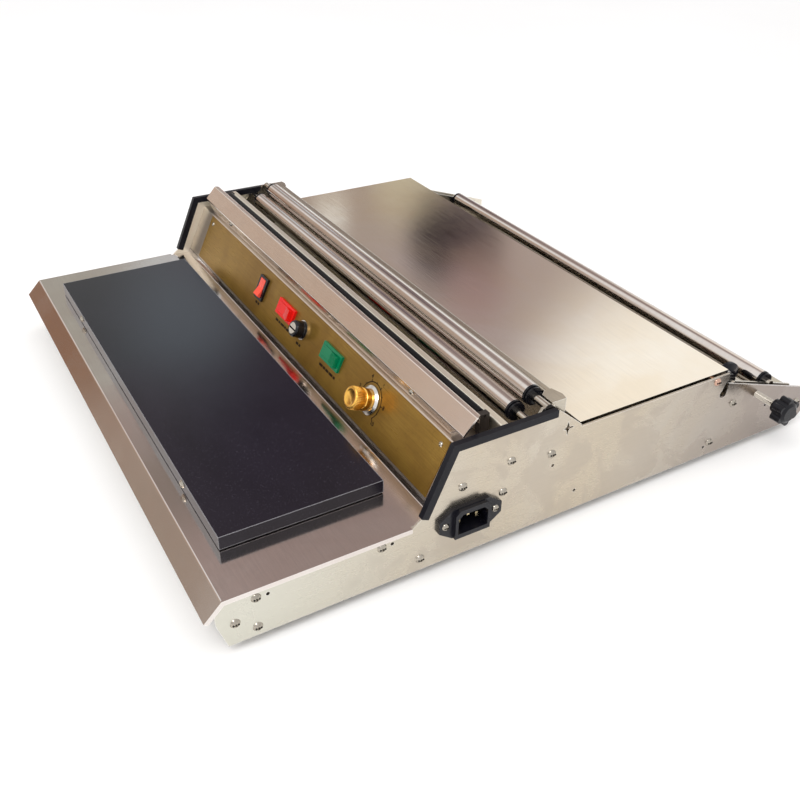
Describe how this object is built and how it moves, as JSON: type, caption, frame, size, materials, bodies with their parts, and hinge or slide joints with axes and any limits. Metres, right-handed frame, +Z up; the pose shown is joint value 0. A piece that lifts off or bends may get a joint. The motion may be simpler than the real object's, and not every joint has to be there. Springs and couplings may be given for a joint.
{
  "type": "film wrapping heat sealer",
  "caption": "Low table-top heat sealer for tray wrapping film: hot sealing plate, control panel, hot cutter bar behind a guard, film rollers, hinged table and roll cradle.",
  "frame": {"origin": "on the standing surface under the rubber feet, below the middle of the machine's overall box", "axes": "+X to the operator's right, +Y to the rear of the machine, +Z up"},
  "size_m": [0.5177, 0.528, 0.1133],
  "materials": {
    "polished_steel": "mirror polished stainless sheet",
    "brushed_steel": "brushed stainless",
    "hot_surface": "non-stick dark coating",
    "screw_steel": "bright nickel",
    "gold_sheet": "gold anodised sheet",
    "black_plastic": "semi-gloss black",
    "black_rubber": "matt black",
    "coral_plastic": "gloss",
    "red_plastic": "gloss, translucent",
    "green_plastic": "gloss, translucent",
    "gold_knob": "satin orange-gold",
    "aluminium": "satin",
    "roller_steel": "satin chrome",
    "dark_bar": "non-stick sleeve",
    "mineral_board": "pressed insulation board",
    "mica": "mica strip heater",
    "brass": "bright",
    "copper_screw": "copper coloured"
  },
  "bodies": {
    "frame": {"base_plate": "brushed_steel", "casing_screws": "screw_steel", "control_panel": "brushed_steel", "cradle_bracket_left": "brushed_steel", "cradle_bracket_right": "brushed_steel", "cut_switch_body": "black_plastic", "cutter_bar": "dark_bar", "cutter_end_blocks": "mineral_board", "cutter_guard": "polished_steel", "cutter_rail": "brushed_steel", "edge_trim_left": "black_rubber", "edge_trim_right": "black_rubber", "film_guide": "polished_steel", "film_support_strip": "polished_steel", "front_tray": "polished_steel", "fuse_holder": "black_plastic", "guard_screws": "screw_steel", "heater_element": "mica", "hot_plate": "hot_surface", "hot_plate_screws": "screw_steel", "inlet_housing": "black_plastic", "inlet_pins": "brass", "inlet_screws": "screw_steel", "insulation_board": "mineral_board", "panel_overlay": "gold_sheet", "panel_screws": "screw_steel", "power_switch_body": "black_plastic", "rear_plate": "polished_steel", "roller_bracket_left": "brushed_steel", "roller_bracket_right": "brushed_steel", "rubber_feet": "black_rubber", "seal_switch_body": "black_plastic", "side_plate_left": "polished_steel", "side_plate_right": "polished_steel", "table_pivot_screws": "copper_screw", "thermostat_body": "black_plastic"},
    "power_rocker": {"power_rocker": "coral_plastic"},
    "seal_rocker": {"seal_rocker": "red_plastic"},
    "cut_rocker": {"cut_rocker": "green_plastic"},
    "temperature_knob": {"temperature_knob": "gold_knob", "knob_skirt": "aluminium", "thermostat_shaft": "screw_steel"},
    "fuse_cap": {"fuse_cap": "black_plastic"},
    "table": {"table_plate": "polished_steel"},
    "stop_pad": {"stop_pad": "black_rubber"},
    "stop_knob": {"star_knob": "black_plastic", "stop_screw": "screw_steel"},
    "front_film_roller": {"front_film_roller_tube": "roller_steel", "front_film_roller_caps": "black_plastic", "front_film_roller_shaft": "screw_steel"},
    "rear_film_roller": {"rear_film_roller_tube": "roller_steel", "rear_film_roller_caps": "black_plastic", "rear_film_roller_shaft": "screw_steel"},
    "front_cradle_roller": {"front_cradle_roller_tube": "roller_steel", "front_cradle_roller_caps": "black_plastic", "front_cradle_roller_shaft": "screw_steel"},
    "rear_cradle_roller": {"rear_cradle_roller_tube": "roller_steel", "rear_cradle_roller_caps": "black_plastic", "rear_cradle_roller_shaft": "screw_steel"}
  },
  "joints": [
    {"name": "power_rocker_tilt", "type": "hinge", "parent": "frame", "child": "power_rocker", "pos_m": [-0.0876, -0.09159, 0.07618], "axis": [1, 0, 0], "range_deg": [0, 18]},
    {"name": "seal_rocker_tilt", "type": "hinge", "parent": "frame", "child": "seal_rocker", "pos_m": [-0.0356, -0.09137, 0.07663], "axis": [0, 0.4274, 0.9041], "range_deg": [0, 16]},
    {"name": "cut_rocker_tilt", "type": "hinge", "parent": "frame", "child": "cut_rocker", "pos_m": [0.0504, -0.09137, 0.07663], "axis": [0, 0.4274, 0.9041], "range_deg": [0, 16]},
    {"name": "temperature_knob_turn", "type": "hinge", "parent": "frame", "child": "temperature_knob", "pos_m": [0.1144, -0.09124, 0.0727], "axis": [0, -0.9041, 0.4274], "range_deg": [-270, 0]},
    {"name": "fuse_cap_turn", "type": "hinge", "parent": "frame", "child": "fuse_cap", "pos_m": [-0.0016, -0.09039, 0.07451], "axis": [0, -0.9041, 0.4274], "range_deg": [0, 60]},
    {"name": "front_film_roller_spin", "type": "hinge", "parent": "frame", "child": "front_film_roller", "pos_m": [-0.0156, -0.028, 0.096], "axis": [1, 0, 0], "continuous": true},
    {"name": "rear_film_roller_spin", "type": "hinge", "parent": "frame", "child": "rear_film_roller", "pos_m": [-0.0156, -0.014, 0.104], "axis": [1, 0, 0], "continuous": true},
    {"name": "front_cradle_roller_spin", "type": "hinge", "parent": "frame", "child": "front_cradle_roller", "pos_m": [-0.0156, 0.176, 0.0627], "axis": [1, 0, 0], "continuous": true},
    {"name": "rear_cradle_roller_spin", "type": "hinge", "parent": "frame", "child": "rear_cradle_roller", "pos_m": [-0.0156, 0.2217, 0.0496], "axis": [1, 0, 0], "continuous": true},
    {"name": "table_hinge", "type": "hinge", "parent": "frame", "child": "table", "pos_m": [-0.0156, 0.1475, 0.0775], "axis": [-1, 0, 0], "range_deg": [0, 60]},
    {"name": "stop_pad_slide", "type": "slide", "parent": "frame", "child": "stop_pad", "axis": [1, 0, 0], "range_m": [-0.012, 0]},
    {"name": "stop_knob_turn", "type": "hinge", "parent": "stop_pad", "child": "stop_knob", "pos_m": [0.1984, 0.198, 0.0513], "axis": [1, 0, 0], "range_deg": [0, 4320]}
  ],
  "couplings": [
    {"joint": "stop_pad_slide", "follows": "stop_knob_turn", "m_per_rad": -0.00015915}
  ]
}
